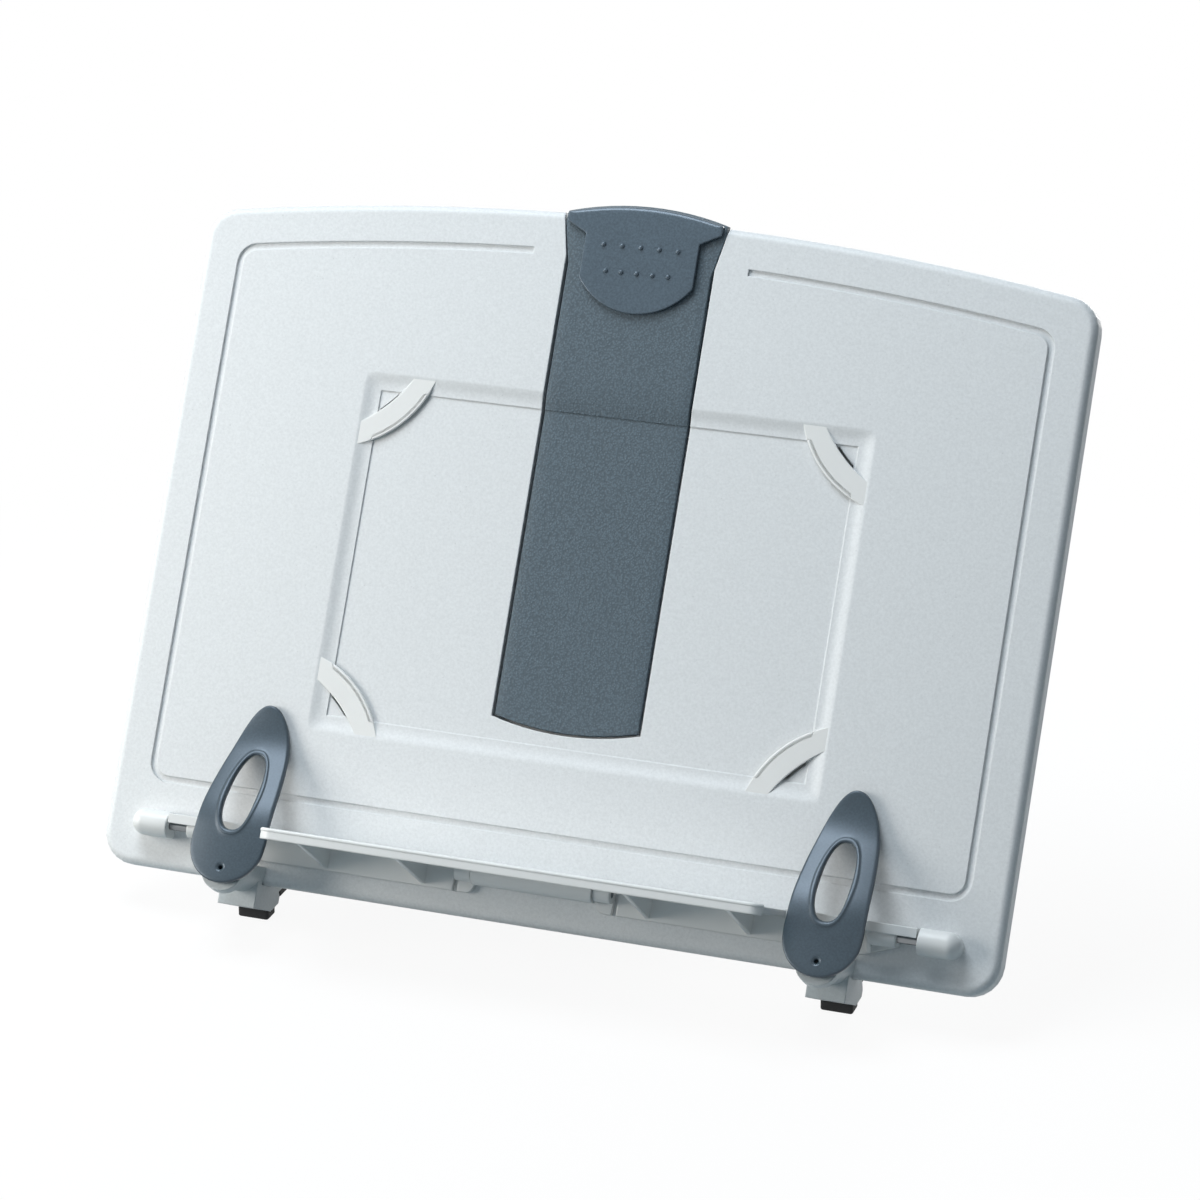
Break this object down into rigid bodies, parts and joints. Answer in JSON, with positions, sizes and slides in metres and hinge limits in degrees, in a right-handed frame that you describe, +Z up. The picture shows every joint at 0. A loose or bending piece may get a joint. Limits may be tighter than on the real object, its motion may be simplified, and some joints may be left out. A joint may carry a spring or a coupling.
{
  "type": "folding book stand",
  "caption": "Leaning desk book stand with a pull-up extension, a bevelled card recess under corner straps, a fold-up ledge, swivelling page clips and a folding prop leg behind.",
  "frame": {"origin": "on the desk, under the middle of the stand's box", "axes": "+X to the reader's right along the board, +Y away from the reader, +Z up"},
  "size_m": [0.34, 0.173, 0.2492],
  "materials": {
    "board_white": "fine-textured cool white",
    "strap_white": "smooth warm white",
    "ledge_white": "satin white",
    "slate": "pebbled slate grey",
    "slate_grip": "satin slate grey",
    "clip_slate": "satin slate grey",
    "rivet_slate": "satin dark slate",
    "bracket_grey": "satin light grey",
    "rubber_black": "matt black",
    "steel": "plain steel"
  },
  "bodies": {
    "board": {"front_shell": "board_white", "back_cover": "board_white", "cover_screws": "steel", "channel_cover": "board_white", "card_strap_top_left": "strap_white", "card_strap_top_right": "strap_white", "card_strap_bottom_left": "strap_white", "card_strap_bottom_right": "strap_white", "hinge_hood_left": "ledge_white", "hinge_hood_right": "ledge_white", "hinge_hood_middle": "ledge_white", "clip_rivet_left": "rivet_slate", "clip_rivet_right": "rivet_slate", "clip_washer_left": "steel", "clip_washer_right": "steel", "foot_bracket_left": "bracket_grey", "foot_bracket_right": "bracket_grey", "bracket_screws": "steel", "rubber_foot_left": "rubber_black", "rubber_foot_right": "rubber_black", "rubber_heel_left": "rubber_black", "rubber_heel_right": "rubber_black", "leg_hinge_left": "bracket_grey", "leg_hinge_right": "bracket_grey", "leg_hinge_screws": "steel"},
    "extension": {"extension_strip": "slate", "grip_pad": "slate_grip", "slide_spring": "steel"},
    "ledge": {"ledge": "ledge_white", "ledge_pin_left": "steel", "ledge_pin_right": "steel", "ledge_pin_middle": "steel"},
    "clip_left": {"page_clip_left": "clip_slate"},
    "clip_right": {"page_clip_right": "clip_slate"},
    "prop_leg": {"prop_leg": "board_white", "leg_pad_left": "rubber_black", "leg_pad_right": "rubber_black", "leg_pin_left": "steel", "leg_pin_right": "steel"}
  },
  "joints": [
    {"name": "extension_lift", "type": "slide", "parent": "board", "child": "extension", "axis": [0, 0.4833, 0.8755], "range_m": [0, 0.088]},
    {"name": "ledge_fold", "type": "hinge", "parent": "board", "child": "ledge", "pos_m": [0, -0.05578, 0.03442], "axis": [-1, 0, 0], "range_deg": [0, 90]},
    {"name": "clip_swivel_left", "type": "hinge", "parent": "board", "child": "clip_left", "pos_m": [-0.1116, -0.07942, 0.03318], "axis": [0, -0.7615, 0.6481], "range_deg": [0, 75]},
    {"name": "clip_swivel_right", "type": "hinge", "parent": "board", "child": "clip_right", "pos_m": [0.1116, -0.07942, 0.03318], "axis": [0, 0.7615, -0.6481], "range_deg": [0, 75]},
    {"name": "prop_leg_fold", "type": "hinge", "parent": "board", "child": "prop_leg", "pos_m": [0, 0.03308, 0.15544], "axis": [-1, 0, 0], "range_deg": [0, 47]}
  ]
}
